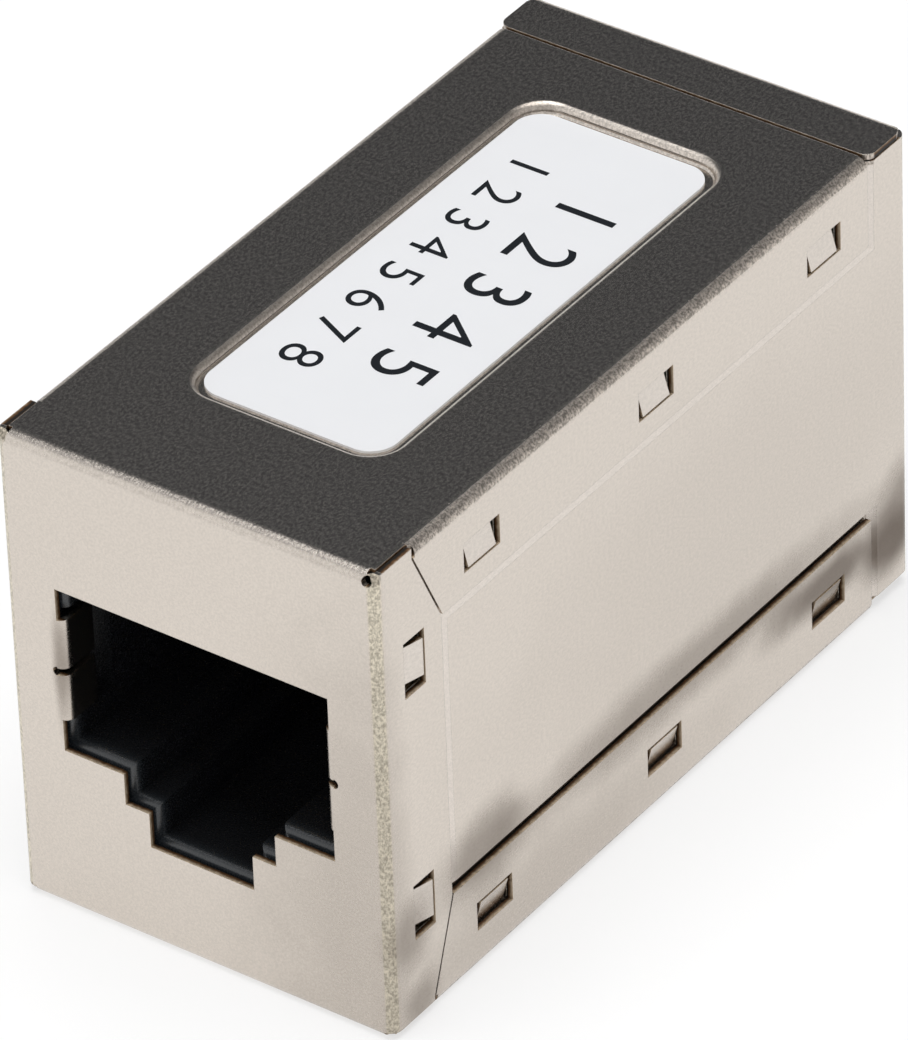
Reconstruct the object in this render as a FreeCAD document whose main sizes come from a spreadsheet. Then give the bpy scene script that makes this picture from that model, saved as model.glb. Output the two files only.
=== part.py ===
"""Shielded inline coupler: two 8-position modular sockets back to back in a folded sheet-metal box.

X is the width, Y the length and Z is up. The origin is the centre of the bottom face. The front
socket opens towards -Y and the rear socket towards +Y, both with the latch keyway at the bottom.
All sizes are in millimetres.
"""
import FreeCAD, Part
import math
import os
import Sketcher

# Driving dimensions. Every cell of the Sizes sheet is one of these plain numbers.
SIZES = {
    # Outside of the folded box, whose width is the socket cutout's with a side wall at each end
    "side_wall_width": 2.3,
    "shell_length": 33.6,
    "shell_height": 20.6,
    "sheet_thickness": 0.25,
    "bend_radius": 0.5,
    # Gaps between the two shells
    "lap_gap": 0.04,
    "seam_gap": 0.1,
    "groove_gap": 0.2,
    "flange_gap": 0.14,
    "ear_gap": 0.06,
    # Side flaps of the front shell
    "top_flap_depth": 3.9,
    "bottom_flap_depth": 4.3,
    "front_flap_depth": 3.8,
    "front_flap_top_gap": 0.03,
    "front_flap_bottom_gap": 0.33,
    "rear_margin": 2.65,
    "top_mitre_setback": 2.3,
    "bottom_mitre_setback": 2.6,
    "mitre_relief_radius": 0.15,
    "corner_relief_radius": 0.2,
    # Snap windows in the flaps, and the barbs of the rear shell that catch in them
    "side_window_inset": 1.7,
    "side_window_height": 1.25,
    "side_window_length": 2.2,
    "first_window_setback": 6.35,
    "last_window_setback": 2.92,
    "front_window_inset": 1.5,
    "front_window_width": 1.25,
    "front_window_length": 2.4,
    "front_window_edge": 3.75,
    "side_barb_slot": 0.26,
    "front_barb_slot": 0.4,
    "barb_catch_gap": 0.1,
    "barb_root_gap": 0.05,
    # Side panels and flanges of the rear shell
    "panel_edge_clearance": 0.1,
    "joggle_angle": 45.0,
    "top_flange_side_gap": 0.02,
    "bottom_flange_side_gap": 0.45,
    "flange_corner_radius": 0.45,
    "rear_corner_radius": 0.9,
    "strip_rise": 0.55,
    # Socket cutout in both end plates. Its heights are measured from the socket's centre.
    "socket_drop": 0.825,
    "cutout_width": 12.0,
    "cutout_half_height": 5.025,
    "shoulder_drop": 2.175,
    "step_width": 6.7,
    "step_drop": 3.525,
    "keyway_width": 4.6,
    # Spring fingers folded in at both sides of the cutout
    "finger_top_rise": 3.625,
    "finger_bottom_drop": 0.825,
    "finger_slit_rise": 1.325,
    "finger_slit_width": 0.3,
    "finger_bend": 0.4,
    "finger_length": 1.7,
    "finger_setback": 0.1,
    "slit_relief_radius": 0.2,
    # Debossed label pocket in the top, and the label
    "pocket_side_margin": 3.95,
    "pocket_end_margin": 5.85,
    "pocket_corner": 1.3,
    "pocket_depth": 0.4,
    "pocket_rim": 0.3,
    "pocket_floor_chamfer": 0.08,
    "label_side_gap": 0.25,
    "label_end_gap": 0.35,
    "label_shift_x": -0.13,
    "label_shift_y": 0.1,
    "label_corner": 1.1,
    "label_thickness": 0.1,
    # Moulded socket bodies
    "jack_side_clearance": 0.16,
    "jack_end_clearance": 0.25,
    "jack_floor_clearance": 0.05,
    "jack_middle_gap": 0.2,
    "socket_inset": 0.1,
    "socket_back_wall": 3.2,
    "socket_floor_wall": 1.25,
    "socket_lead_in": 0.4,
    "skirt_width": 2.2,
    "finger_recess_width": 0.55,
    "finger_recess_margin": 0.2,
    "finger_recess_depth": 2.4,
    "peg_radius": 0.75,
    "peg_height": 1.6,
    "peg_inset": 1.4,
    "peg_setback": 5.3,
    # Circuit board above the sockets, and the insulating film above it
    "board_clearance": 1.4,
    "board_thickness": 1.2,
    "board_side_inset": 0.3,
    "board_end_clearance": 1.35,
    "tail_hole_clearance": 0.22,
    "peg_hole_clearance": 0.08,
    "film_thickness": 0.15,
    "film_side_margin": 1.3,
    "film_end_gap": 0.15,
    # Contact carriers and the eight spring contacts of each socket
    "carrier_cheek": 0.52,
    "carrier_clearance": 0.05,
    "carrier_setback": 2.25,
    "carrier_wall": 1.31,
    "contact_pitch": 1.02,
    "groove_clearance": 0.07,
    "groove_depth": 1.0,
    "wire_width": 0.36,
    "wire_thickness": 0.3,
    "tail_setback": 9.6,
    "tail_row_pitch": 2.54,
    "tail_length": 0.7,
    "nose_setback": 3.0,
    "nose_bend": 0.5,
    "tip_setback": 9.0,
    "tip_rise": 2.375,
}

CONTACTS_PER_SOCKET = 8
SIDE_WINDOWS = 3
FRONT = -1
REAR = 1


class Size:
    """A number with the sheet expression that it comes from, so that arithmetic keeps both."""

    def __init__(self, value, text):
        self.value = value
        self.text = text

    def _join(self, other, sign, value):
        return Size(value, "(%s %s %s)" % (self.text, sign, other.text))

    def __add__(self, other):
        other = as_size(other)
        return self._join(other, "+", self.value + other.value)

    def __radd__(self, other):
        return as_size(other) + self

    def __sub__(self, other):
        other = as_size(other)
        return self._join(other, "-", self.value - other.value)

    def __rsub__(self, other):
        return as_size(other) - self

    def __mul__(self, other):
        other = as_size(other)
        return self._join(other, "*", self.value * other.value)

    def __rmul__(self, other):
        return as_size(other) * self

    def __truediv__(self, other):
        other = as_size(other)
        return self._join(other, "/", self.value / other.value)

    def __neg__(self):
        return Size(-self.value, "(-1 * %s)" % self.text)


def as_size(number):
    if isinstance(number, Size):
        return number
    return Size(float(number), repr(float(number)))


def make_sheet(doc):
    sheet = doc.addObject("Spreadsheet::Sheet", "Sizes")
    for row, (name, number) in enumerate(SIZES.items(), start=1):
        sheet.set("A%d" % row, name)
        sheet.set("B%d" % row, str(number))
        sheet.setAlias("B%d" % row, name)
    doc.recompute()
    return sheet


def size(name):
    return Size(float(SIZES[name]), "Sizes." + name)


# Values that several pieces share
W = size("cutout_width") + 2 * size("side_wall_width")
L = size("shell_length")
H = size("shell_height")
T = size("sheet_thickness")
BEND = size("bend_radius")
HALF_W = W / 2
HALF_L = L / 2
FLAT_X = HALF_W - BEND
FLAP_END = HALF_L - size("rear_margin")
MARGIN_X = HALF_W - T - size("lap_gap")
JOGGLE = T + size("lap_gap")
SOCKET_Z = H / 2 - size("socket_drop")
SOCKET_TOP = SOCKET_Z + size("cutout_half_height")
SOCKET_FLOOR = SOCKET_Z - size("cutout_half_height")
FINGER_TOP = SOCKET_Z + size("finger_top_rise")
FINGER_BOTTOM = SOCKET_Z - size("finger_bottom_drop")
POCKET_HALF_W = HALF_W - size("pocket_side_margin")
POCKET_HALF_L = HALF_L - size("pocket_end_margin")
POCKET_FLOOR = H - size("pocket_depth")
FILM_BOTTOM = POCKET_FLOOR - T - size("film_thickness")
BOARD_TOP = FILM_BOTTOM - size("board_clearance")
BOARD_BOTTOM = BOARD_TOP - size("board_thickness")
JACK_HALF_W = MARGIN_X - T - size("jack_side_clearance")
JACK_SETBACK = T + size("jack_end_clearance")
PEG_X = JACK_HALF_W - size("peg_inset")
CARRIER_HALF_W = CONTACTS_PER_SOCKET / 2 * size("contact_pitch") + size("carrier_cheek")
CARRIER_BACK = size("tail_setback") + size("tail_row_pitch") + size("carrier_wall")
CARRIER_BOTTOM = SOCKET_TOP - size("socket_inset")
GROOVE_ROOF = CARRIER_BOTTOM + size("groove_depth")


def origin_plane(body, role):
    return next(plane for plane in body.Origin.OriginFeatures if plane.Role == role)


def new_body(doc, name):
    body = doc.addObject("PartDesign::Body", name)
    body.Label = name
    return body


def bind(item, path, number):
    item.setExpression(path, number.text)


def new_sketch(body, name, role, offset=None):
    """A sketch on one of the body's own origin planes, or parallel to it at a bound distance."""
    sketch = body.newObject("Sketcher::SketchObject", name)
    sketch.AttachmentSupport = [(origin_plane(body, role), "")]
    sketch.MapMode = "FlatFace"
    if offset is not None:
        offset = as_size(offset)
        sketch.AttachmentOffset = FreeCAD.Placement(FreeCAD.Vector(0, 0, offset.value), FreeCAD.Rotation())
        bind(sketch, "AttachmentOffset.Base.z", offset)
    return sketch


def bound_point(sketch, geometry, position, u, v):
    """Ties one end of a sketch element to bound coordinates."""
    for kind, number in (("DistanceX", u), ("DistanceY", v)):
        index = sketch.addConstraint(Sketcher.Constraint(kind, geometry, position, number.value))
        bind(sketch, "Constraints[%d]" % index, number)


def corner_points(previous, corner, following, radius):
    """Where an axis-aligned corner's round starts and ends, and the middle of its arc."""
    ends = []
    for neighbour in (previous, following):
        du = neighbour[0].value - corner[0].value
        dv = neighbour[1].value - corner[1].value
        if abs(du) > abs(dv):
            ends.append((corner[0] + math.copysign(1, du) * radius, corner[1]))
        else:
            ends.append((corner[0], corner[1] + math.copysign(1, dv) * radius))
    centre = FreeCAD.Vector(ends[0][0].value + ends[1][0].value - corner[0].value,
                            ends[0][1].value + ends[1][1].value - corner[1].value, 0)
    outward = (FreeCAD.Vector(corner[0].value, corner[1].value, 0) - centre).normalize()
    return ends[0], ends[1], centre + outward * radius.value


def flat(point):
    return FreeCAD.Vector(point[0].value, point[1].value, 0)


def add_loop(sketch, corners):
    """Adds a closed outline. A corner is (u, v), or (u, v, radius) where it is rounded."""
    count = len(corners)
    corners = [tuple(as_size(number) for number in corner) for corner in corners]
    pieces = []
    starts = []
    for index, corner in enumerate(corners):
        if len(corner) == 3:
            start, end, middle = corner_points(corners[index - 1], corner, corners[(index + 1) % count],
                                               corner[2])
            starts.append((start, end, middle, corner[2]))
        else:
            starts.append((corner, corner, None, None))
    for index in range(count):
        start, end, middle, radius = starts[index]
        if middle is not None:
            turn = (middle - flat(start)).cross(flat(end) - flat(start)).z
            first, last = (start, end) if turn > 0 else (end, start)
            geometry = sketch.addGeometry(Part.Arc(flat(first), middle, flat(last)), False)
            begin, finish = (1, 2) if turn > 0 else (2, 1)
            pieces.append((geometry, begin, finish, start, radius))
        following = starts[(index + 1) % count][0]
        if flat(end).distanceToPoint(flat(following)) > 1e-6:
            geometry = sketch.addGeometry(Part.LineSegment(flat(end), flat(following)), False)
            pieces.append((geometry, 1, 2, end, None))
    joints = []
    for index, piece in enumerate(pieces):
        following = pieces[(index + 1) % len(pieces)]
        joints.append(Sketcher.Constraint("Coincident", piece[0], piece[2], following[0], following[1]))
    sketch.addConstraint(joints)
    for geometry, begin, finish, start, radius in pieces:
        bound_point(sketch, geometry, begin, start[0], start[1])
        if radius is not None:
            index = sketch.addConstraint(Sketcher.Constraint("Radius", geometry, radius.value))
            bind(sketch, "Constraints[%d]" % index, radius)


def add_circle(sketch, u, v, radius):
    u, v = as_size(u), as_size(v)
    shape = Part.Circle(FreeCAD.Vector(u.value, v.value, 0), FreeCAD.Vector(0, 0, 1), radius.value)
    geometry = sketch.addGeometry(shape, False)
    bound_point(sketch, geometry, 3, u, v)
    index = sketch.addConstraint(Sketcher.Constraint("Radius", geometry, radius.value))
    bind(sketch, "Constraints[%d]" % index, radius)


def rectangle(left, right, low, high):
    return [(left, low), (right, low), (right, high), (left, high)]


def rounded(left, right, low, high, radius):
    return [(left, low, radius), (right, low, radius), (right, high, radius), (left, high, radius)]


def extrude(body, kind, name, sketch, length, reverse=False, symmetric=False, taper=None):
    feature = body.newObject("PartDesign::" + kind, name)
    feature.Profile = sketch
    feature.Length = length.value
    bind(feature, "Length", length)
    feature.Reversed = reverse
    feature.SideType = "Symmetric" if symmetric else "One side"
    if taper is not None:
        feature.TaperAngle = taper.value
        bind(feature, "TaperAngle", taper)
    sketch.Visibility = False
    return feature


def pad(body, name, sketch, length, **options):
    feature = extrude(body, "Pad", name, sketch, length, **options)
    body.Document.recompute()
    return feature


def pocket(body, name, sketch, length, **options):
    before = body.Shape.Volume
    feature = extrude(body, "Pocket", name, sketch, length, **options)
    body.Document.recompute()
    if body.Shape.Volume >= before:
        raise RuntimeError(name + " cuts nothing")
    return feature


def plate(body, name, role, offset, loops, thickness, **options):
    """A pad of one or more closed outlines."""
    sketch = new_sketch(body, name + "_sketch", role, offset)
    for loop in loops:
        add_loop(sketch, loop)
    return pad(body, name, sketch, thickness, **options)


def cut(body, name, role, offset, loops, depth, **options):
    """A pocket of one or more closed outlines."""
    sketch = new_sketch(body, name + "_sketch", role, offset)
    for loop in loops:
        add_loop(sketch, loop)
    return pocket(body, name, sketch, depth, **options)


def bore(body, name, role, offset, centre, radius, depth, **options):
    """A round pocket."""
    sketch = new_sketch(body, name + "_sketch", role, offset)
    add_circle(sketch, centre[0], centre[1], radius)
    return pocket(body, name, sketch, depth, **options)


def dress_edges(body, kind, name, amount, wanted):
    """Rounds ("Fillet") or bevels ("Chamfer") the tip's edges for which wanted(edge) is true."""
    tip = body.Tip
    names = ["Edge%d" % number for number, edge in enumerate(tip.Shape.Edges, start=1) if wanted(edge)]
    if not names:
        raise RuntimeError(name + " finds no edge")
    feature = body.newObject("PartDesign::" + kind, name)
    feature.Base = (tip, names)
    width = "Radius" if kind == "Fillet" else "Size"
    setattr(feature, width, amount.value)
    bind(feature, width, amount)
    body.Document.recompute()
    return feature


def mirror(body, name, features, role="YZ_Plane"):
    feature = body.newObject("PartDesign::Mirrored", name)
    feature.Originals = features
    feature.MirrorPlane = (origin_plane(body, role), [""])
    body.Tip = feature
    body.Document.recompute()
    return feature


def bend_loop(u, v, across, along):
    """Section of one bend about the corner (u, v), with its two legs towards `across` and `along`."""
    return [(u - across * BEND, v),
            (u, v, BEND),
            (u, v - along * BEND),
            (u - across * T, v - along * BEND),
            (u - across * T, v - along * T, BEND - T),
            (u - across * BEND, v - along * T)]


def round_top_corner(body, end):
    """Carries the top bend's round on over the top of the right side bend."""
    loop = [(end * (HALF_L + BEND), H - BEND), (end * HALF_L, H - BEND), (end * HALF_L, H, BEND),
            (end * (HALF_L - BEND), H), (end * (HALF_L - BEND), H + BEND), (end * (HALF_L + BEND), H + BEND)]
    return cut(body, "front_top_corner" if end == FRONT else "rear_top_corner", "YZ_Plane", HALF_W,
               [loop], BEND)


def end_y(end, setback):
    """The Y of a plane that lies `setback` inside the front or the rear end."""
    return end * (HALF_L - setback)


def socket_loop(inset):
    """Stepped outline of the socket opening, drawn in by `inset` on every side."""
    half = size("cutout_width") / 2 - inset
    step = size("step_width") / 2 - inset
    key = size("keyway_width") / 2 - inset
    top = SOCKET_TOP - inset
    shoulder = SOCKET_Z - size("shoulder_drop") + inset
    ledge = SOCKET_Z - size("step_drop") + inset
    floor = SOCKET_FLOOR + inset
    right = [(key, floor), (key, ledge), (step, ledge), (step, shoulder), (half, shoulder), (half, top)]
    left = [(-u, v) for u, v in reversed(right)]
    return right + left


def socket_cutout(body, end):
    """The stepped cutout in an end plate, with two spring fingers folded in on each side."""
    fold = size("cutout_width") / 2 + size("finger_setback")
    slit = SOCKET_Z + size("finger_slit_rise")
    slit_low = slit - size("finger_slit_width") / 2
    slit_high = slit + size("finger_slit_width") / 2
    into_rear = end == REAR
    face = -end * HALF_L
    cut(body, "cutout", "XZ_Plane", face, [socket_loop(as_size(0))], T, reverse=into_rear)
    fold_cut = cut(body, "fold_line", "XZ_Plane", face,
                   [rectangle(size("keyway_width") / 2, fold, FINGER_BOTTOM, FINGER_TOP)],
                   T, reverse=into_rear)
    relief = bore(body, "slit_relief", "XZ_Plane", face, (fold, slit), size("slit_relief_radius"), T,
                  reverse=into_rear)
    bend = size("finger_bend")
    tip = end_y(end, size("finger_length"))
    near = end_y(end, as_size(0))
    back = end_y(end, T)
    section = [(fold, near),
               (fold - bend, near, bend),
               (fold - bend, tip),
               (fold - bend + T, tip),
               (fold - bend + T, back, bend - T),
               (fold, back)]
    lower = plate(body, "lower_finger", "XY_Plane", FINGER_BOTTOM, [section], slit_low - FINGER_BOTTOM)
    upper = plate(body, "upper_finger", "XY_Plane", slit_high, [section], FINGER_TOP - slit_high)
    mirror(body, "both_finger_pairs", [fold_cut, relief, lower, upper])


def side_window_loops():
    """The three windows in the top flap and the three in the bottom flap, as (y, z) edges."""
    loops = []
    first = size("first_window_setback") - HALF_L
    last = FLAP_END - size("last_window_setback")
    half = size("side_window_length") / 2
    inset = size("side_window_inset")
    height = size("side_window_height")
    for index in range(SIDE_WINDOWS):
        middle = first + (last - first) * (index / (SIDE_WINDOWS - 1))
        loops.append((middle - half, middle + half, H - inset - height, H - inset))
        loops.append((middle - half, middle + half, inset, inset + height))
    return loops


def front_window_loops():
    """The two windows in the front flap, as (y, z) edges."""
    left = size("front_window_inset") - HALF_L
    right = left + size("front_window_width")
    edge = size("front_window_edge")
    length = size("front_window_length")
    return [(left, right, H - edge - length, H - edge), (left, right, edge, edge + length)]


def make_front_shield(doc):
    """Outer shell: front plate, top and bottom folded back, and mitred side flaps with windows."""
    body = new_body(doc, "front_shield")
    channel = [(FLAP_END, H), (-HALF_L, H, BEND), (-HALF_L, 0, BEND), (FLAP_END, 0),
               (FLAP_END, T), (T - HALF_L, T, BEND - T), (T - HALF_L, H - T, BEND - T), (FLAP_END, H - T)]
    plate(body, "channel", "YZ_Plane", None, [channel], 2 * FLAT_X, symmetric=True)

    gap = size("seam_gap")
    ear_x = HALF_W - T - size("ear_gap")
    inner = size("front_flap_depth") - HALF_L
    bend_y = BEND - HALF_L
    sided = []
    mitres = []
    for name, level, direction in (("top", H, -1), ("bottom", as_size(0), 1)):
        setback = size(name + "_mitre_setback")
        outer = setback - HALF_L
        tangent = level + direction * BEND
        reach = level + direction * size(name + "_flap_depth")
        ear = rectangle(FLAT_X, ear_x, bend_y, outer)
        sided.append(plate(body, name + "_ear", "XY_Plane", level, [ear], T, reverse=direction < 0))
        sided.append(plate(body, name + "_bend", "XZ_Plane", -outer,
                           [bend_loop(HALF_W, level, 1, -direction)], FLAP_END - outer, reverse=True))
        sided.append(bore(body, name + "_mitre_relief", "XY_Plane", level, (HALF_W - T / 2, outer),
                          size("mitre_relief_radius"), BEND, reverse=direction > 0))
        flap = [(outer, tangent), (FLAP_END, tangent), (FLAP_END, reach), (inner + gap, reach)]
        sided.append(plate(body, name + "_flap", "YZ_Plane", HALF_W - T, [flap], T))
        mitres.append((outer - gap, tangent, reach))

    low = size("front_flap_bottom_gap")
    high = H - size("front_flap_top_gap")
    (top_y, top_z, top_reach), (bottom_y, bottom_z, bottom_reach) = mitres
    sided.append(plate(body, "front_bend", "XY_Plane", low, [bend_loop(HALF_W, -HALF_L, 1, -1)], high - low))
    front_flap = [(bend_y, low), (bottom_y, low), (bottom_y, bottom_z), (inner, bottom_reach),
                  (inner, top_reach), (top_y, top_z), (top_y, high), (bend_y, high)]
    sided.append(plate(body, "front_flap", "YZ_Plane", HALF_W - T, [front_flap], T))
    sided.append(round_top_corner(body, FRONT))
    windows = [rectangle(*edges) for edges in side_window_loops() + front_window_loops()]
    sided.append(cut(body, "windows", "YZ_Plane", HALF_W, windows, T))
    mirror(body, "both_sides", sided)

    relief = size("corner_relief_radius")
    bore(body, "corner_relief", "XZ_Plane", HALF_L, (FLAT_X + relief / 2, H - BEND + relief), relief, BEND)
    socket_cutout(body, FRONT)
    deboss_label_pocket(body)
    return body


def deboss_label_pocket(body):
    """The shallow pocket pressed into the top sheet for the label."""
    half_w, half_l = POCKET_HALF_W, POCKET_HALF_L
    corner = size("pocket_corner")
    under = rounded(-half_w - T, half_w + T, -half_l - T, half_l + T, corner + T)
    plate(body, "pocket_back", "XY_Plane", POCKET_FLOOR - T, [under], size("pocket_depth"))
    cut(body, "label_pocket", "XY_Plane", H, [rounded(-half_w, half_w, -half_l, half_l, corner)],
        size("pocket_depth"))

    def at_height(edge, height):
        box = edge.BoundBox
        level = abs(box.ZMin - height.value) < 1e-6 and abs(box.ZMax - height.value) < 1e-6
        along = max(abs(box.YMin), abs(box.YMax)) < half_l.value + 0.01
        across = max(abs(box.XMin), abs(box.XMax)) < half_w.value + 0.01
        return level and along and across

    dress_edges(body, "Fillet", "pocket_rim_round", size("pocket_rim"), lambda edge: at_height(edge, H))
    dress_edges(body, "Chamfer", "pocket_floor_bevel", size("pocket_floor_chamfer"),
                lambda edge: at_height(edge, POCKET_FLOOR))


def make_rear_shield(doc):
    """Inner shell: rear plate, short top and bottom flanges, and joggled side panels with barbs."""
    body = new_body(doc, "rear_shield")
    plate(body, "rear_plate", "XZ_Plane", -HALF_L, [rectangle(-FLAT_X, FLAT_X, BEND, H - BEND)], T)

    bend_y = HALF_L - BEND
    step_y = FLAP_END + size("seam_gap")
    strip_y = step_y + JOGGLE
    strip_low = size("strip_rise")
    strip_high = H - JOGGLE
    sided = [plate(body, "rear_bend", "XY_Plane", strip_low, [bend_loop(HALF_W, HALF_L, 1, 1)],
                   strip_high - strip_low),
             plate(body, "rear_strip", "YZ_Plane", HALF_W - T,
                   [rectangle(strip_y, bend_y, strip_low, strip_high)], T)]
    edge = BEND + size("panel_edge_clearance")
    sided.append(plate(body, "panel_margin", "YZ_Plane", MARGIN_X - T,
                       [rectangle(edge - HALF_L, strip_y, edge, H - edge)], T))
    plateau_y = size("front_flap_depth") - HALF_L + size("lap_gap")
    plateau_low = size("bottom_flap_depth") + size("groove_gap")
    plateau_high = H - size("top_flap_depth") - size("lap_gap")
    strip_end = bend_y + JOGGLE
    taper = -size("joggle_angle")

    def raised(inset):
        left, low, high = plateau_y + inset, plateau_low + inset, plateau_high - inset
        step = step_y + inset
        low_end, high_end = strip_low - JOGGLE + inset, strip_high + JOGGLE - inset
        return [(left, low), (step, low), (step, low_end), (strip_end, low_end),
                (strip_end, high_end), (step, high_end), (step, high), (left, high)]

    wall_inset = (math.sqrt(2) - 1) * T
    sided.append(plate(body, "plateau", "YZ_Plane", MARGIN_X, [raised(as_size(0))], JOGGLE, taper=taper))
    sided.append(cut(body, "plateau_back", "YZ_Plane", MARGIN_X - T, [raised(wall_inset)], JOGGLE,
                     reverse=True, taper=taper))
    beyond = [rectangle(edge - HALF_L, strip_end, strip_high, strip_high + 2 * JOGGLE),
              rectangle(edge - HALF_L, strip_end, strip_low - 2 * JOGGLE, strip_low)]
    sided.append(cut(body, "strip_ends", "YZ_Plane", HALF_W, beyond, BEND))
    sided += side_barbs(body)
    mirror(body, "both_sides", sided)

    flange_y = FLAP_END + size("flange_gap")
    for name, level, direction in (("top", H, -1), ("bottom", as_size(0), 1)):
        section = rectangle(flange_y, bend_y, level, level + direction * T)
        plate(body, name + "_flange", "YZ_Plane", None, [section],
              W - 2 * size(name + "_flange_side_gap"), symmetric=True)
        plate(body, name + "_flange_bend", "YZ_Plane", None, [bend_loop(HALF_L, level, 1, -direction)],
              2 * FLAT_X, symmetric=True)
    round_flange_corners(body, flange_y)
    socket_cutout(body, REAR)
    return body


def side_barbs(body):
    """Tongues cut from the side panel's margin and bent out into the front shell's windows."""
    features = []
    openings = []
    root, catch = size("barb_root_gap"), size("barb_catch_gap")
    barbs = []
    for left, right, low, high in side_window_loops():
        barbs.append(("XZ_Plane", left + size("side_barb_slot"), right - size("side_barb_slot"), low, high))
        openings.append(rectangle(left, right, low + root, high - root))
    for left, right, low, high in front_window_loops():
        barbs.append(("XY_Plane", low + size("front_barb_slot"), high - size("front_barb_slot"), left, right))
        openings.append(rectangle(left + root, right, low, high))
    features.append(cut(body, "barb_openings", "YZ_Plane", MARGIN_X, openings, T))
    for number, (role, start, stop, low, high) in enumerate(barbs, start=1):
        if role == "XZ_Plane" and low.value > H.value / 2:
            hinge, free = high - root, low + catch
        else:
            hinge, free = low + root, high - catch
        section = [(MARGIN_X, hinge), (HALF_W, free), (HALF_W - T, free), (MARGIN_X - T, hinge)]
        offset = start if role == "XY_Plane" else -start
        features.append(plate(body, "barb_%d" % number, role, offset, [section], stop - start,
                              reverse=role == "XZ_Plane"))
    return features


def round_flange_corners(body, flange_y):
    """Rounds the free corners of the two flanges, and the top flange's corners above the side bends."""

    def free_corner(edge):
        box = edge.BoundBox
        name = "top_flange_side_gap" if box.ZMin > H.value / 2 else "bottom_flange_side_gap"
        side_x = (HALF_W - size(name)).value
        upright = box.ZLength > 0.5 * T.value and box.XLength < 1e-6 and box.YLength < 1e-6
        return upright and abs(abs(box.XMin) - side_x) < 1e-6 and abs(box.YMin - flange_y.value) < 1e-6

    dress_edges(body, "Fillet", "flange_corners", size("flange_corner_radius"), free_corner)
    corner = size("rear_corner_radius")
    far_x, far_y = HALF_W + BEND, HALF_L + BEND
    near_x, near_y = HALF_W - corner - BEND, HALF_L - corner - BEND
    loop = [(far_x, near_y), (HALF_W, near_y), (HALF_W, HALF_L, corner), (near_x, HALF_L),
            (near_x, far_y), (far_x, far_y)]
    outline = rectangle(FLAT_X, HALF_W - size("top_flange_side_gap"), HALF_L - BEND, HALF_L)
    tip = plate(body, "flange_tip", "XY_Plane", H, [outline], T, reverse=True)
    top_corner = round_top_corner(body, REAR)
    rear_corner = cut(body, "rear_corner", "XY_Plane", H, [loop], JOGGLE)
    mirror(body, "rear_corners", [tip, top_corner, rear_corner])


def make_label(doc):
    body = new_body(doc, "label")
    half_w = POCKET_HALF_W - size("label_side_gap")
    half_l = POCKET_HALF_L - size("label_end_gap")
    x, y = size("label_shift_x"), size("label_shift_y")
    loop = rounded(x - half_w, x + half_w, y - half_l, y + half_l, size("label_corner"))
    plate(body, "label_sheet", "XY_Plane", POCKET_FLOOR, [loop], size("label_thickness"))
    return body


def make_insulator_film(doc):
    """Film stuck to the underside of the label pocket, above the solder side of the board."""
    body = new_body(doc, "insulator_film")
    half_w = HALF_W - size("film_side_margin")
    half_l = FLAP_END - size("film_end_gap")
    plate(body, "film_sheet", "XY_Plane", FILM_BOTTOM, [rectangle(-half_w, half_w, -half_l, half_l)],
          size("film_thickness"))
    return body


def tail_setback(index):
    """How far a contact's solder tail stands from its socket's end. Two rows alternate."""
    return size("tail_setback") + (index % 2) * size("tail_row_pitch")


def contact_x(index):
    return (index - (CONTACTS_PER_SOCKET - 1) / 2) * size("contact_pitch")


def make_board(doc):
    body = new_body(doc, "circuit_board")
    half_w = JACK_HALF_W - size("board_side_inset")
    half_l = HALF_L - T - size("board_end_clearance")
    plate(body, "board_sheet", "XY_Plane", BOARD_BOTTOM, [rectangle(-half_w, half_w, -half_l, half_l)],
          size("board_thickness"))
    holes = new_sketch(body, "hole_sketch", "XY_Plane", BOARD_TOP)
    tail_hole = size("wire_width") / 2 + size("tail_hole_clearance")
    peg_hole = size("peg_radius") + size("peg_hole_clearance")
    for end in (FRONT, REAR):
        for index in range(CONTACTS_PER_SOCKET):
            add_circle(holes, -end * contact_x(index), end_y(end, tail_setback(index)), tail_hole)
        for side in (-1, 1):
            add_circle(holes, side * PEG_X, end_y(end, JACK_SETBACK + size("peg_setback")), peg_hole)
    pocket(body, "holes", holes, size("board_thickness"))
    return body


def turn_to_end(body, end):
    """Bodies are drawn for the front socket. The rear ones are turned half round about Z."""
    if end == REAR:
        body.Placement = FreeCAD.Placement(FreeCAD.Vector(0, 0, 0), FreeCAD.Vector(0, 0, 1), 180)


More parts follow.
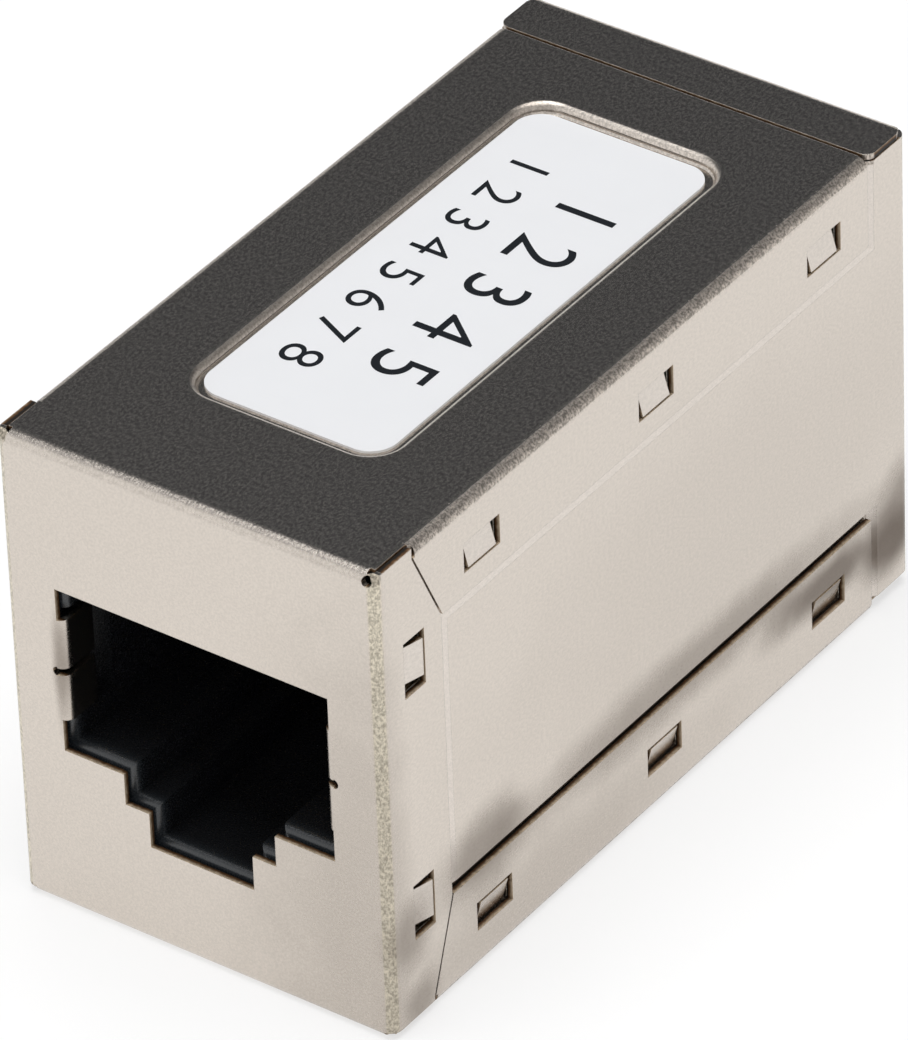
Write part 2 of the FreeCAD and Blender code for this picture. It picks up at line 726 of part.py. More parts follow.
def make_jack_body(doc, name, end):
    """Moulded socket: stepped cavity with a soft lead-in, finger recesses, skirts and two pegs."""
    body = new_body(doc, name)
    half = JACK_HALF_W
    inset = size("socket_inset")
    face = JACK_SETBACK - HALF_L
    length = HALF_L - JACK_SETBACK - size("jack_middle_gap") / 2
    bottom = T + size("jack_floor_clearance")
    plate(body, "block", "XZ_Plane", -face, [rectangle(-half, half, bottom, BOARD_BOTTOM)], length,
          reverse=True)
    cut(body, "cavity", "XZ_Plane", -face, [socket_loop(inset)], length - size("socket_back_wall"))
    wide = size("cutout_width").value / 2

    def mouth_edge(edge):
        box = edge.BoundBox
        in_face = abs(box.YMin - face.value) < 1e-6 and abs(box.YMax - face.value) < 1e-6
        return in_face and max(abs(box.XMin), abs(box.XMax)) < wide

    dress_edges(body, "Fillet", "lead_in", size("socket_lead_in"), mouth_edge)
    cavity_x = size("cutout_width") / 2 - inset
    margin = size("finger_recess_margin")
    recess = rectangle(cavity_x - size("finger_bend"), cavity_x + size("finger_recess_width"),
                       FINGER_BOTTOM - margin, FINGER_TOP + margin)
    recess_cut = cut(body, "finger_recess", "XZ_Plane", -face, [recess], size("finger_recess_depth"))
    mirror(body, "finger_recesses", [recess_cut])
    skirt = half - size("skirt_width")
    roof = SOCKET_FLOOR + inset - size("socket_floor_wall")
    cut(body, "underside", "XZ_Plane", -face, [rectangle(-skirt, skirt, bottom, roof)], length)
    clearance = size("carrier_clearance")
    seat = CARRIER_HALF_W + clearance
    start = size("carrier_setback") - clearance - HALF_L
    stop = CARRIER_BACK + clearance - HALF_L
    cut(body, "carrier_seat", "XY_Plane", BOARD_BOTTOM, [rectangle(-seat, seat, start, stop)],
        BOARD_BOTTOM - CARRIER_BOTTOM)
    pegs = new_sketch(body, "peg_sketch", "XY_Plane", BOARD_BOTTOM)
    for side in (-1, 1):
        add_circle(pegs, side * PEG_X, face + size("peg_setback"), size("peg_radius"))
    pad(body, "pegs", pegs, size("peg_height"))
    turn_to_end(body, end)
    return body


def make_contact_carrier(doc, name, end):
    """Insert in the socket's ceiling that holds the eight contacts in grooves."""
    body = new_body(doc, name)
    start = size("carrier_setback") - HALF_L
    stop = CARRIER_BACK - HALF_L
    plate(body, "insert", "XY_Plane", CARRIER_BOTTOM, [rectangle(-CARRIER_HALF_W, CARRIER_HALF_W, start, stop)],
          BOARD_BOTTOM - CARRIER_BOTTOM)
    half_groove = size("wire_width") / 2 + size("groove_clearance")
    grooves = []
    shafts = []
    for index in range(CONTACTS_PER_SOCKET):
        left = contact_x(index) - half_groove
        right = contact_x(index) + half_groove
        tail = tail_setback(index) - HALF_L
        grooves.append(rectangle(left, right, start, tail + half_groove))
        shafts.append(rectangle(left, right, tail - half_groove, tail + half_groove))
    cut(body, "grooves", "XY_Plane", GROOVE_ROOF, grooves, size("groove_depth"))
    cut(body, "tail_shafts", "XY_Plane", BOARD_BOTTOM, shafts, BOARD_BOTTOM - GROOVE_ROOF)
    turn_to_end(body, end)
    return body


def make_contact(doc, name, end, index):
    """One spring contact: solder tail, run along its groove, nose bend and slanted spring."""
    body = new_body(doc, name)
    run_z = GROOVE_ROOF - size("wire_thickness") / 2
    tail_y = tail_setback(index) - HALF_L
    nose_y = size("nose_setback") - HALF_L
    nose_bend = size("nose_bend")
    tail_top = (tail_y, BOARD_TOP + size("tail_length"))
    foot = (tail_y, run_z)
    run_front = (nose_y, run_z)
    tip = (size("tip_setback") - HALF_L, SOCKET_Z + size("tip_rise"))

    # The spring leaves the nose bend as a tangent towards the tip.
    centre = FreeCAD.Vector(nose_y.value, run_z.value - nose_bend.value, 0)
    reach = flat(tip) - centre
    slope = math.atan2(-reach.y, reach.x) - math.asin(nose_bend.value / reach.Length)
    nose_end = centre - FreeCAD.Vector(math.sin(slope), math.cos(slope), 0) * nose_bend.value
    nose_middle = centre - FreeCAD.Vector(nose_bend.value, 0, 0)

    path = new_sketch(body, "path", "YZ_Plane")
    path.addGeometry([
        Part.LineSegment(flat(tail_top), flat(foot)),
        Part.LineSegment(flat(foot), flat(run_front)),
        Part.Arc(flat(run_front), nose_middle, nose_end),
        Part.LineSegment(nose_end, flat(tip))], False)
    tail, run, nose, spring = range(4)
    path.addConstraint([
        Sketcher.Constraint("Coincident", tail, 2, run, 1),
        Sketcher.Constraint("Coincident", run, 2, nose, 1),
        Sketcher.Constraint("Tangent", nose, 2, spring, 1)])
    for geometry, position, point in ((tail, 1, tail_top), (run, 1, foot), (run, 2, run_front),
                                      (spring, 2, tip)):
        bound_point(path, geometry, position, point[0], point[1])
    bound_point(path, nose, 3, nose_y, run_z - nose_bend)

    section = new_sketch(body, "section", "XY_Plane", tail_top[1])
    half_w, half_t = size("wire_width") / 2, size("wire_thickness") / 2
    add_loop(section, rectangle(-half_w, half_w, tail_y - half_t, tail_y + half_t))
    doc.recompute()
    wire = body.newObject("PartDesign::AdditivePipe", "wire")
    wire.Profile = section
    wire.Spine = (path, ["Edge%d" % number for number in range(1, 5)])
    wire.Transition = "Right corner"
    path.Visibility = False
    section.Visibility = False
    doc.recompute()
    bind(body, "Placement.Base.x", -end * contact_x(index))
    if end == REAR:
        body.Placement = FreeCAD.Placement(FreeCAD.Vector(), FreeCAD.Vector(0, 0, 1), 180)
    return body


def check(doc, bodies):
    """Stops if any object failed or any piece isn't a valid solid."""
    for item in doc.Objects:
        if "Invalid" in item.State or "Error" in item.State:
            raise RuntimeError("%s is %s" % (item.Name, item.State))
    for body in bodies:
        if body.Shape.isNull() or not body.Shape.isValid() or not body.Shape.Solids:
            raise RuntimeError(body.Label + " has no valid solid")


def main():
    doc = FreeCAD.newDocument("inline_coupler")
    make_sheet(doc)
    bodies = [make_front_shield(doc), make_rear_shield(doc), make_label(doc), make_insulator_film(doc),
              make_board(doc)]
    for prefix, end in (("front", FRONT), ("rear", REAR)):
        bodies.append(make_jack_body(doc, prefix + "_jack_body", end))
        bodies.append(make_contact_carrier(doc, prefix + "_contact_carrier", end))
        for index in range(CONTACTS_PER_SOCKET):
            bodies.append(make_contact(doc, "%s_contact_%d" % (prefix, index + 1), end, index))
    doc.recompute()
    check(doc, bodies)
    os.makedirs("parts", exist_ok=True)
    for body in bodies:
        print(body.Label, len(body.Shape.Solids), "solids", round(body.Shape.Volume, 3))
        body.Shape.exportStep("parts/%s.step" % body.Label)


main()
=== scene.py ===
"""Looks of the shielded inline coupler: plated sheet, black mouldings, label and pale stage."""

import math

import bpy
from mathutils import Matrix, Vector

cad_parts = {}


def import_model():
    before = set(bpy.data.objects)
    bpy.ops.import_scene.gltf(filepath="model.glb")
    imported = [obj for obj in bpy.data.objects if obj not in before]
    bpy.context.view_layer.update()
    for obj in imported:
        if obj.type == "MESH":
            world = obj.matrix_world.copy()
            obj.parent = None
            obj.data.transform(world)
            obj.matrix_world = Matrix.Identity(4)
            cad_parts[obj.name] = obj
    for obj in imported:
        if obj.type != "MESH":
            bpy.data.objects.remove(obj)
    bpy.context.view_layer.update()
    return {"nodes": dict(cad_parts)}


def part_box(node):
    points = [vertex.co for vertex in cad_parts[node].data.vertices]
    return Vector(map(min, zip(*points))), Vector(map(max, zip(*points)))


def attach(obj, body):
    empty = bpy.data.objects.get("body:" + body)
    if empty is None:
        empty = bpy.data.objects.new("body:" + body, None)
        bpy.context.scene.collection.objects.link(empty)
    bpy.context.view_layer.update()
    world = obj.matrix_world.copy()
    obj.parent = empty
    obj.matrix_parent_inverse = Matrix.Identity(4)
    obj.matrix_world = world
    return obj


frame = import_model()

MM = 0.001
scene = bpy.context.scene
scene.view_settings.view_transform = "Standard"

# Camera, at the photograph's viewing angle
CAMERA_AT = Vector((182.43, -246.63, 231.28)) * MM
CAMERA_RIGHT = Vector((0.815878, 0.577372, -0.031382))
CAMERA_UP = Vector((-0.317645, 0.492888, 0.810039))
CAMERA_BACK = Vector((0.483161, -0.650925, 0.585535))
SENSOR_HEIGHT = 36.0
FOCAL_LENGTH = 357.4

# Box sizes in millimetres, read from the frame
LOW, HIGH = (Vector(corner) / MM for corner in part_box("front_shield"))
REAR_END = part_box("rear_shield")[1][1] / MM
HALF_W = HIGH.x
FRONT_END = LOW.y
HEIGHT = HIGH.z

# Colours as linear values
NICKEL = (0.655, 0.595, 0.532)
BEND_NICKEL = (0.61, 0.555, 0.445)
# The barb and joggle tones are lighter copies of the nickel: painted highlights
BARB_HIGHLIGHT_NICKEL = (0.67, 0.615, 0.56)
JOGGLE_HIGHLIGHT_NICKEL = (0.735, 0.672, 0.612)
EDGE_TAN = (0.62, 0.50, 0.36)
EDGE_BROWN = (0.12, 0.055, 0.018)
# The darkest edge tone is painted shade in the cut and a painted shadow under the flange
EDGE_SHADOW = (0.012, 0.008, 0.005)
# Tone of the painted shade on the sheet
PAINTED_SHADE_TONE = (0.135, 0.105, 0.082)
LABEL_WHITE = (0.815, 0.82, 0.835)
INK = (0.004, 0.0055, 0.008)
PLASTIC = (0.0065, 0.007, 0.008)
# The mouth tone is a painted highlight, and the sides tone a painted brown reflection
PLASTIC_MOUTH_HIGHLIGHT = (0.026, 0.031, 0.036)
PLASTIC_SIDES_REFLECTION = (0.11, 0.08, 0.042)
SOLDER_MASK = (0.012, 0.09, 0.035)
COPPER_UNDER_MASK = (0.03, 0.17, 0.06)
FILM_AMBER = (0.42, 0.2, 0.03)
GOLD = (0.92, 0.62, 0.24)

TRACKS_PER_MM = 0.9

# Where the sheet's details lie, in millimetres below the box's faces
SHEET = 0.25
BARB_DEPTH = 0.3
FLANGE_DEPTH = 0.4
BEND = 0.5
JOGGLE_DEPTH = 0.6
RIM_DEPTH = 0.75
FAR = 10.0

# The room: its tones, and its soft cards as direction, inner and outer angle in degrees, and tone
PAPER = (0.8, 0.8, 0.8, 1)
HORIZON = (0.96, 0.96, 0.96)
OVERHEAD = (0.2, 0.205, 0.22)
CARDS = [
    ((0.586, 0.651, 0.483), 14, 36, (0.34, 0.34, 0.34)),
    ((-0.483, 0.651, 0.586), 34, 56, (0.05, 0.055, 0.062)),
]

# The print: how far its strokes are thinned, and how far it lies above the label in millimetres
STROKE_THINNING = 0.006
INK_LIFT = 0.004

# Patches of painted shade on the sheet, standing in for dark reflections: centre and radii in
# millimetres, then how dark each one is
SHADE_PATCHES = [
    ((HALF_W, 2.0, 4.9), (2.0, 17.0, 2.0), 0.5),
    ((HALF_W, -11.2, 5.0), (2.0, 4.0, 2.8), 0.6),
    ((HALF_W, 15.4, 2.7), (1.5, 3.1, 2.1), 0.92),
    ((HALF_W, 16.4, 3.9), (1.0, 2.4, 2.8), 0.6),
    ((HALF_W, 11.2, 3.3), (2.0, 5.6, 1.5), 0.85),
    ((HALF_W, -15.4, 4.2), (1.5, 1.9, 2.2), 0.5),
    ((HALF_W, -15.0, 0.9), (1.5, 1.5, 1.6), 0.5),
    ((HALF_W, -7.0, 1.4), (2.0, 14.0, 3.0), 0.22),
    ((HALF_W, 6.0, 10.0), (3.0, 24.0, 9.0), 0.09),
    ((HALF_W, FRONT_END, 5.0), (9.0, 2.0, 17.0), 0.26),
    ((-5.95, FRONT_END + 0.1, 11.0), (0.5, 0.9, 3.6), 0.6),
]


class Graph:
    """A node tree with short ways to add and join its nodes."""

    def __init__(self, tree):
        self.tree = tree

    def node(self, kind, **settings):
        made = self.tree.nodes.new(kind)
        for key, value in settings.items():
            if key in made.inputs:
                self.put(made.inputs[key], value)
            else:
                setattr(made, key, value)
        return made

    def put(self, socket, value):
        if isinstance(value, bpy.types.NodeSocket):
            self.tree.links.new(value, socket)
        else:
            socket.default_value = value

    def math(self, operation, first, second=0.0, third=0.0):
        made = self.node("ShaderNodeMath", operation=operation)
        for socket, value in zip(made.inputs, (first, second, third)):
            self.put(socket, value)
        return made.outputs[0]

    def product(self, first, *others):
        for other in others:
            first = self.math("MULTIPLY", first, other)
        return first

    def largest(self, first, *others):
        for other in others:
            first = self.math("MAXIMUM", first, other)
        return first

    def inverse(self, value):
        return self.math("SUBTRACT", 1.0, value)

    def vector(self, operation, first, second=(0.0, 0.0, 0.0)):
        made = self.node("ShaderNodeVectorMath", operation=operation)
        self.put(made.inputs[0], first)
        self.put(made.inputs["Scale" if operation == "SCALE" else 1], second)
        return made.outputs["Value" if operation in ("DOT_PRODUCT", "LENGTH") else "Vector"]

    def step(self, value, low, high, first=0.0, last=1.0):
        """A smooth step from `first` at `low` to `last` at `high`."""
        made = self.node("ShaderNodeMapRange", interpolation_type="SMOOTHSTEP")
        for socket, number in zip(("Value", "From Min", "From Max", "To Min", "To Max"),
                                  (value, low, high, first, last)):
            self.put(made.inputs[socket], number)
        return made.outputs["Result"]

    def mix(self, factor, first, second, blend="MIX"):
        made = self.node("ShaderNodeMix", data_type="RGBA", blend_type=blend)
        sockets = [made.inputs[index] for index in (0, 6, 7)]
        for socket, value in zip(sockets, (factor, first, second)):
            self.put(socket, (*value, 1.0) if isinstance(value, tuple) and len(value) == 3 else value)
        return made.outputs[2]

    def grey(self, value):
        made = self.node("ShaderNodeCombineColor")
        for socket in made.inputs:
            self.put(socket, value)
        return made.outputs[0]

    def noise(self, place, scale, detail=2.0, roughness=0.5):
        made = self.node("ShaderNodeTexNoise", Scale=scale, Detail=detail, Roughness=roughness)
        self.put(made.inputs["Vector"], place)
        return made.outputs["Fac"]

    def stretched(self, place, x, y, z):
        return self.vector("MULTIPLY", place, (x, y, z))

    def split(self, value):
        made = self.node("ShaderNodeSeparateXYZ")
        self.put(made.inputs[0], value)
        return made.outputs

    def bump(self, height, distance, under=None):
        made = self.node("ShaderNodeBump", Strength=1.0, Distance=distance)
        self.put(made.inputs["Height"], height)
        if under is not None:
            self.put(made.inputs["Normal"], under)
        return made.outputs["Normal"]


def new_material(name):
    """A material, its graph, its shader and its place in millimetres."""
    material = bpy.data.materials.new(name)
    material.use_nodes = True
    graph = Graph(material.node_tree)
    shader = material.node_tree.nodes["Principled BSDF"]
    place = graph.vector("SCALE", graph.node("ShaderNodeTexCoord").outputs["Object"], 1 / MM)
    return material, graph, shader, place


def assign(node_name, material):
    mesh = frame["nodes"][node_name].data
    mesh.materials.clear()
    mesh.materials.append(material)


def folded_edges(graph, place, normal):
    """Masks from 0 to 1 over the sheet's bends, rims, joggles, barbs and cut edges."""
    x, y, z = graph.split(place)
    facing = [graph.math("ABSOLUTE", part) for part in graph.split(normal)]
    flatness = graph.largest(*facing)
    away = [graph.math("SUBTRACT", HALF_W, graph.math("ABSOLUTE", x)),
            graph.math("MINIMUM", graph.math("SUBTRACT", y, FRONT_END),
                       graph.math("SUBTRACT", REAR_END, y)),
            graph.math("MINIMUM", z, graph.math("SUBTRACT", HEIGHT, z))]
    near = [graph.step(distance, BEND - 0.06, BEND, 1.0, 0.0) for distance in away]
    inside = [graph.inverse(part) for part in near]

    curved = graph.step(flatness, 0.93, 0.995, 1.0, 0.0)
    masks = {"upright": graph.product(curved, near[0], near[1]),
             "ends": graph.product(curved, near[2], near[1]),
             "sides": graph.product(curved, near[2], near[0]),
             "rim": graph.product(curved, inside[0], inside[1],
                                  graph.step(z, HEIGHT - RIM_DEPTH - 0.05, HEIGHT - RIM_DEPTH + 0.05))}
    masks["barb"] = graph.product(graph.step(flatness, 0.93, 0.95),
                                  graph.step(flatness, 0.98, 0.99, 1.0, 0.0),
                                  graph.step(away[0], BARB_DEPTH, BARB_DEPTH + 0.02, 1.0, 0.0),
                                  inside[1], inside[2])
    masks["joggle"] = graph.product(graph.step(facing[0], 0.3, 0.5),
                                    graph.step(facing[0], 0.985, 0.998, 1.0, 0.0),
                                    graph.step(away[0], JOGGLE_DEPTH, JOGGLE_DEPTH + 0.05, 1.0, 0.0),
                                    inside[1], inside[2], graph.inverse(masks["barb"]))

    # A flat spot is a cut edge where it lies below its own face of the box but near another face
    own, other = 0.0, FAR
    for part, distance in zip(facing, away):
        faced = graph.step(part, 0.97, 0.98)
        own = graph.math("MULTIPLY_ADD", faced, distance, own)
        other = graph.math("MINIMUM", other, graph.math("MULTIPLY_ADD", faced, FAR, distance))
    masks["cut"] = graph.product(graph.step(own, 0.012, 0.018), graph.step(flatness, 0.97, 0.98),
                                 graph.step(other, SHEET, SHEET + 0.01, 1.0, 0.0),
                                 graph.inverse(graph.product(*near)))
    # Depth of a cut edge below its face, plus a step under the flange: it sets the painted shade down
    # into the cut and the painted shadow under the flange
    flange = graph.step(z, HEIGHT - FLANGE_DEPTH - 0.05, HEIGHT - FLANGE_DEPTH + 0.05)
    masks["depth"] = graph.math("MULTIPLY_ADD", flange, 0.4, graph.math("DIVIDE", other, SHEET))
    return masks


def painted_shade_patches(graph, place, cloud):
    """How much painted shade the sheet gets from the soft patches."""
    painted_shade = 0.0
    for centre, radii, strength in SHADE_PATCHES:
        offset = graph.vector("SUBTRACT", place, centre)
        offset = graph.vector("MULTIPLY", offset, tuple(1 / radius for radius in radii))
        wavy = graph.math("MULTIPLY_ADD", cloud, 0.5, graph.vector("LENGTH", offset))
        patch = graph.step(wavy, 0.45, 1.25, strength, 0.0)
        both = graph.math("MULTIPLY", painted_shade, patch)
        painted_shade = graph.math("SUBTRACT", graph.math("ADD", painted_shade, patch), both)
    return painted_shade


def plated_sheet():
    """Satin plated sheet: fine grain, crackled on the bends, sheared brown edges, and painted shade and
    highlights: dark patches, darker side bends and rim walls, lighter barbs and joggles, and shade down
    into the cut edges.
    """
    material, graph, shader, place = new_material("plated_sheet")
    normal = graph.node("ShaderNodeNewGeometry").outputs["True Normal"]
    masks = folded_edges(graph, place, normal)
    upright, ends, sides, cut = (masks[name] for name in ("upright", "ends", "sides", "cut"))
    crackled = graph.largest(upright, sides, graph.math("MULTIPLY", masks["rim"], 0.7),
                             graph.math("MULTIPLY", ends, 0.3))
    leftward = graph.math("MULTIPLY", masks["rim"], graph.step(graph.split(normal)[0], 0.1, 0.3))
    upward = graph.step(graph.split(normal)[2], 0.7, 0.95)

    fine = graph.noise(graph.stretched(place, 1.0, 0.6, 1.0), 10.0, 2.0, 0.75)
    crackle = graph.noise(graph.stretched(place, 1.0, 1.0, 0.7), 10.0, 3.0, 0.75)
    cloud = graph.noise(place, 0.35, 3.0)
    brushed = graph.noise(graph.stretched(place, 1.2, 9.0, 9.0), 1.6, 3.0, 0.65)
    sheared = graph.noise(place, 5.0, 2.0)
    painted_shade = painted_shade_patches(graph, place, cloud)

    colour = graph.mix(graph.math("MULTIPLY", upright, 0.9), NICKEL, BEND_NICKEL)
    # Painted highlight: the barbs are a lighter copy of the nickel
    colour = graph.mix(graph.math("MULTIPLY", masks["barb"], 0.8), colour, BARB_HIGHLIGHT_NICKEL)
    # Painted highlight: the joggles are lightened against the shade their slopes fall into
    colour = graph.mix(masks["joggle"], colour, JOGGLE_HIGHLIGHT_NICKEL)
    # Painted shade: the bend strips between the top or bottom and the sides, and the rim wall facing
    # +X, are darkened with the shade tone, as are the patches; the same mask also roughens the sheet
    for factor, amount in ((sides, 0.42), (leftward, 0.45)):
        painted_shade = graph.math("MAXIMUM", painted_shade, graph.math("MULTIPLY", factor, amount))
    colour = graph.mix(painted_shade, colour, PAINTED_SHADE_TONE)
    # Cut edges: tan at the face, browner and then dark further in, with noise from the shearing; the
    # darkening is painted shade down into the gap and a painted shadow under the flange
    sheared_and_shaded = graph.math("MULTIPLY_ADD", sheared, 0.5, graph.math("SUBTRACT", masks["depth"], 0.25))
    edge = graph.mix(graph.step(sheared_and_shaded, 0.15, 0.7), EDGE_TAN, EDGE_BROWN)
    colour = graph.mix(cut, colour, graph.mix(graph.step(sheared_and_shaded, 0.7, 1.0), edge, EDGE_SHADOW))
    grain = graph.mix(upward, graph.grey(graph.step(fine, 0.34, 0.66, 0.955, 1.045)),
                      graph.grey(graph.step(fine, 0.34, 0.66, 0.77, 1.23)))
    grain = graph.mix(crackled, grain, graph.grey(graph.step(crackle, 0.34, 0.66, 0.62, 1.28)))
    grain = graph.mix(sides, grain, graph.grey(graph.step(crackle, 0.38, 0.64, 0.55, 1.5)))
    colour = graph.mix(1.0, colour, grain, "MULTIPLY")
    graph.put(shader.inputs["Base Color"], colour)
    graph.put(shader.inputs["Metallic"], graph.math("MULTIPLY_ADD", cut, -0.6, 1.0))

    rough = graph.math("MULTIPLY_ADD", fine, 0.1, 0.19)
    for factor, amount in ((crackled, 0.08), (painted_shade, 0.1), (cut, 0.3)):
        rough = graph.math("MULTIPLY_ADD", factor, amount, rough)
    graph.put(shader.inputs["Roughness"], rough)

    relief = graph.math("MULTIPLY_ADD", brushed, 0.25, graph.math("MULTIPLY", fine, 0.3))
    relief = graph.math("MULTIPLY_ADD", graph.math("MULTIPLY", crackle, crackled), 2.5, relief)
    rounded = graph.node("ShaderNodeBevel", samples=4, Radius=0.05 * MM).outputs[0]
    outward = graph.node("ShaderNodeCombineXYZ", X=graph.math("SIGN", graph.split(place)[0])).outputs[0]
    rounded = graph.mix(graph.math("MULTIPLY", masks["joggle"], 0.75), rounded, outward)
    graph.put(shader.inputs["Normal"], graph.bump(relief, 0.006 * MM, under=rounded))
    return material


def moulded_plastic():
    """Black moulded plastic with a fine spark-eroded texture, a painted highlight near the mouths and a
    painted brown reflection at the sides.
    """
    material, graph, shader, place = new_material("moulded_plastic")
    texture = graph.noise(place, 14.0, 3.0, 0.6)
    flow = graph.noise(graph.stretched(place, 1.0, 0.3, 1.0), 0.8, 2.0)
    x, y = (graph.math("ABSOLUTE", part) for part in graph.split(place)[:2])
    colour = graph.mix(flow, PLASTIC, tuple(1.7 * part for part in PLASTIC))
    # Painted highlight: the plastic is lighter near the mouths, where the lead-ins catch light
    colour = graph.mix(graph.step(y, REAR_END - 1.3, REAR_END - 0.3), colour, PLASTIC_MOUTH_HIGHLIGHT)
    # Painted reflection: the plastic at the sides, seen through the shield's windows, is tinted brown
    # like the light the shield's edges throw there
    colour = graph.mix(graph.step(x, 7.2, 7.4), colour, PLASTIC_SIDES_REFLECTION)
    graph.put(shader.inputs["Base Color"], colour)
    shader.inputs["IOR"].default_value = 1.65
    graph.put(shader.inputs["Roughness"], graph.math("MULTIPLY_ADD", texture, 0.14, 0.2))
    graph.put(shader.inputs["Normal"], graph.bump(texture, 0.004 * MM))
    return material


def label_film():
    """Matt white film with a faint fibre and slightly uneven coating."""
    material, graph, shader, place = new_material("label_film")
    fibre = graph.noise(graph.stretched(place, 5.0, 1.0, 1.0), 6.0, 3.0)
    coat = graph.noise(place, 0.5, 2.0)
    graph.put(shader.inputs["Base Color"],
              graph.mix(coat, LABEL_WHITE, tuple(0.97 * part for part in LABEL_WHITE)))
    graph.put(shader.inputs["Roughness"], graph.math("MULTIPLY_ADD", fibre, 0.15, 0.48))
    graph.put(shader.inputs["Normal"], graph.bump(fibre, 0.002 * MM))
    return material


def printing_ink():
    """Thin dark ink, a little patchy."""
    material, graph, shader, place = new_material("printing_ink")
    patchy = graph.noise(place, 9.0, 3.0)
    graph.put(shader.inputs["Base Color"], graph.mix(patchy, INK, tuple(1.8 * part for part in INK)))
    graph.put(shader.inputs["Roughness"], graph.math("MULTIPLY_ADD", patchy, 0.2, 0.4))
    shader.inputs["Specular IOR Level"].default_value = 0.25
    return material


def circuit_board():
    """Green board whose tracks run along it under the solder mask."""
    material, graph, shader, place = new_material("circuit_board")
    wander = graph.noise(graph.stretched(place, 0.25, 0.12, 0.25), 1.0, 1.0)
    columns = graph.math("MULTIPLY", graph.split(place)[0], TRACKS_PER_MM)
    across = graph.math("FRACT", graph.math("MULTIPLY_ADD", wander, 3.0, columns))
    from_middle = graph.math("ABSOLUTE", graph.math("SUBTRACT", across, 0.5))
    track = graph.step(from_middle, 0.18, 0.22, 1.0, 0.0)
    graph.put(shader.inputs["Base Color"], graph.mix(track, SOLDER_MASK, COPPER_UNDER_MASK))
    weave = graph.noise(graph.stretched(place, 4.0, 4.0, 1.0), 2.0, 2.0)
    graph.put(shader.inputs["Roughness"], graph.math("MULTIPLY_ADD", weave, 0.15, 0.22))
    graph.put(shader.inputs["Normal"], graph.bump(graph.math("ADD", track, weave), 0.012 * MM))
    return material


def insulating_film():
    """Amber film with a slight ripple."""
    material, graph, shader, place = new_material("insulating_film")
    ripple = graph.noise(place, 0.6, 2.0)
    graph.put(shader.inputs["Base Color"],
              graph.mix(ripple, FILM_AMBER, tuple(0.7 * part for part in FILM_AMBER)))
    graph.put(shader.inputs["Roughness"], graph.math("MULTIPLY_ADD", ripple, 0.1, 0.12))
    graph.put(shader.inputs["Normal"], graph.bump(ripple, 0.05 * MM))
    return material


def gold_wire():
    """Gold-plated spring wire with drawing lines along it."""
    material, graph, shader, place = new_material("gold_wire")
    lines = graph.noise(graph.stretched(place, 30.0, 1.5, 3.0), 1.0, 3.0)
    graph.put(shader.inputs["Base Color"],
              graph.mix(lines, GOLD, tuple(0.82 * part for part in GOLD)))
    shader.inputs["Metallic"].default_value = 1.0
    graph.put(shader.inputs["Roughness"], graph.math("MULTIPLY_ADD", lines, 0.14, 0.12))
    graph.put(shader.inputs["Normal"], graph.bump(lines, 0.003 * MM))
    return material


def camera():
    data = bpy.data.cameras.new("camera")
    data.sensor_fit = "VERTICAL"
    data.sensor_height = SENSOR_HEIGHT
    data.lens = FOCAL_LENGTH
    data.clip_end = 10.0
    piece = bpy.data.objects.new("camera", data)
    turn = Matrix((CAMERA_RIGHT, CAMERA_UP, CAMERA_BACK)).transposed().to_4x4()
    piece.matrix_world = Matrix.Translation(CAMERA_AT) @ turn
    scene.collection.objects.link(piece)
    scene.camera = piece


def stage_shader(graph, surface, albedo, glow):
    """White to the camera and in reflections, and plain pale paper to diffuse light."""
    rays = graph.node("ShaderNodeLightPath").outputs
    seen = graph.math("MAXIMUM", rays["Is Camera Ray"],
                      graph.math("MAXIMUM", rays["Is Glossy Ray"], rays["Is Transmission Ray"]))
    shown = graph.node("ShaderNodeAddShader")
    plain = graph.node("ShaderNodeBsdfDiffuse", Color=(albedo, albedo, albedo, 1))
    graph.put(shown.inputs[0], plain.outputs[0])
    graph.put(shown.inputs[1], graph.node("ShaderNodeEmission", Strength=glow).outputs[0])
    paper = graph.node("ShaderNodeBsdfDiffuse", Color=PAPER)
    either = graph.node("ShaderNodeMixShader")
    graph.put(either.inputs[0], seen)
    graph.put(either.inputs[1], paper.outputs[0])
    graph.put(either.inputs[2], shown.outputs[0])
    graph.put(surface, either.outputs[0])


def stage_piece(name, vertices, faces, albedo, glow):
    mesh = bpy.data.meshes.new(name)
    mesh.from_pydata(vertices, [], faces)
    piece = bpy.data.objects.new(name, mesh)
    scene.collection.objects.link(piece)
    material = bpy.data.materials.new(name)
    material.use_nodes = True
    graph = Graph(material.node_tree)
    material.node_tree.nodes.clear()
    output = graph.node("ShaderNodeOutputMaterial")
    stage_shader(graph, output.inputs["Surface"], albedo, glow)
    mesh.materials.append(material)


def floor_and_backdrop():
    """A pale floor inside a low round wall, so that level views have a white background too."""
    radius, height, sides = 2.0, 0.5, 48
    turns = [2 * math.pi * i / sides for i in range(sides)]
    ring = [(radius * math.cos(turn), radius * math.sin(turn)) for turn in turns]
    stage_piece("floor", [(x, y, 0) for x, y in ring], [tuple(range(sides))], 0.4, 0.62)
    wall = [(x, y, z) for z in (0, height) for x, y in ring]
    faces = [(i, (i + 1) % sides, sides + (i + 1) % sides, sides + i) for i in range(sides)]
    stage_piece("backdrop", wall, faces, 0.1, 0.9)


def area_lamp(name, place, target, size, power):
    data = bpy.data.lights.new(name, "AREA")
    data.shape = "SQUARE"
    data.size = size
    data.energy = power
    piece = bpy.data.objects.new(name, data)
    piece.location = place
    piece.rotation_euler = (Vector(target) - Vector(place)).to_track_quat("-Z", "Y").to_euler()
    scene.collection.objects.link(piece)


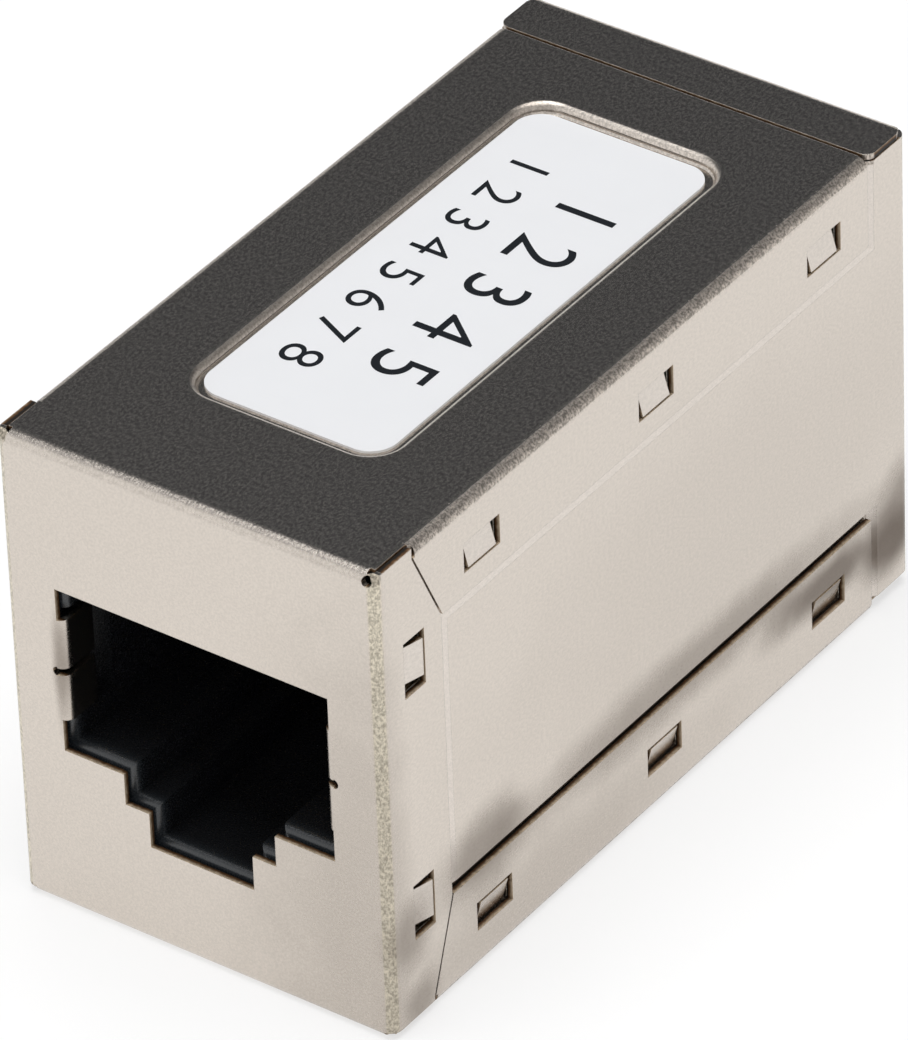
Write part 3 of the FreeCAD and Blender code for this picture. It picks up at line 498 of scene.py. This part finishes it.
def world():
    """A soft room: bright round the horizon, dim overhead, with two darker cards behind."""
    sky = bpy.data.worlds.new("studio")
    scene.world = sky
    sky.use_nodes = True
    graph = Graph(sky.node_tree)
    background = sky.node_tree.nodes["Background"]
    direction = graph.node("ShaderNodeTexCoord").outputs["Generated"]
    height = graph.split(direction)[2]
    colour = graph.mix(graph.step(height, 0.66, 0.84), HORIZON, OVERHEAD)
    for centre, inner, outer, shade in CARDS:
        toward = graph.vector("DOT_PRODUCT", direction, tuple(Vector(centre).normalized()))
        inside = graph.step(toward, math.cos(math.radians(outer)), math.cos(math.radians(inner)))
        colour = graph.mix(inside, colour, shade)
    graph.put(background.inputs["Color"], colour)
    background.inputs["Strength"].default_value = 1.0


def printed_row(name, text, baseline, cap_height, start, length, ink):
    """A row of plain numbers that reads from rear to front, its tops towards +X."""
    curve = bpy.data.curves.new(name, "FONT")
    curve.body = text
    curve.offset = -STROKE_THINNING
    holder = bpy.data.objects.new(name + "_text", curve)
    scene.collection.objects.link(holder)
    solved = holder.evaluated_get(bpy.context.evaluated_depsgraph_get())
    mesh = bpy.data.meshes.new_from_object(solved)
    bpy.data.objects.remove(holder)
    left, right = (pick(v.co.x for v in mesh.vertices) for pick in (min, max))
    foot, head = (pick(v.co.y for v in mesh.vertices) for pick in (min, max))
    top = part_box("label")[1][2] + INK_LIFT * MM
    for vertex in mesh.vertices:
        along = (vertex.co.x - left) / (right - left) * length
        up = (vertex.co.y - foot) / (head - foot) * cap_height
        vertex.co = Vector(((baseline + up) * MM, (start - along) * MM, top))
    for polygon in mesh.polygons:
        if polygon.normal.z < 0:
            polygon.flip()
    mesh.materials.clear()
    mesh.materials.append(ink)
    piece = bpy.data.objects.new(name, mesh)
    scene.collection.objects.link(piece)
    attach(piece, "root")


metal = plated_sheet()
plastic = moulded_plastic()
gold = gold_wire()
for node_name in frame["nodes"]:
    if node_name.endswith("shield"):
        assign(node_name, metal)
    elif "contact_carrier" in node_name or "jack_body" in node_name:
        assign(node_name, plastic)
    elif "contact" in node_name:
        assign(node_name, gold)
assign("label", label_film())
assign("circuit_board", circuit_board())
assign("insulator_film", insulating_film())

ink = printing_ink()
printed_row("large_numbers", "1 2 3 4 5", baseline=0.15, cap_height=2.6, start=6.1, length=12.3,
            ink=ink)
printed_row("small_numbers", "1 2 3 4 5 6 7 8", baseline=-2.9, cap_height=1.7, start=7.5, length=14.9,
            ink=ink)

camera()
floor_and_backdrop()
world()
area_lamp("overhead", place=(0, 0, 0.6), target=(0, 0, 0), size=0.5, power=2.8)
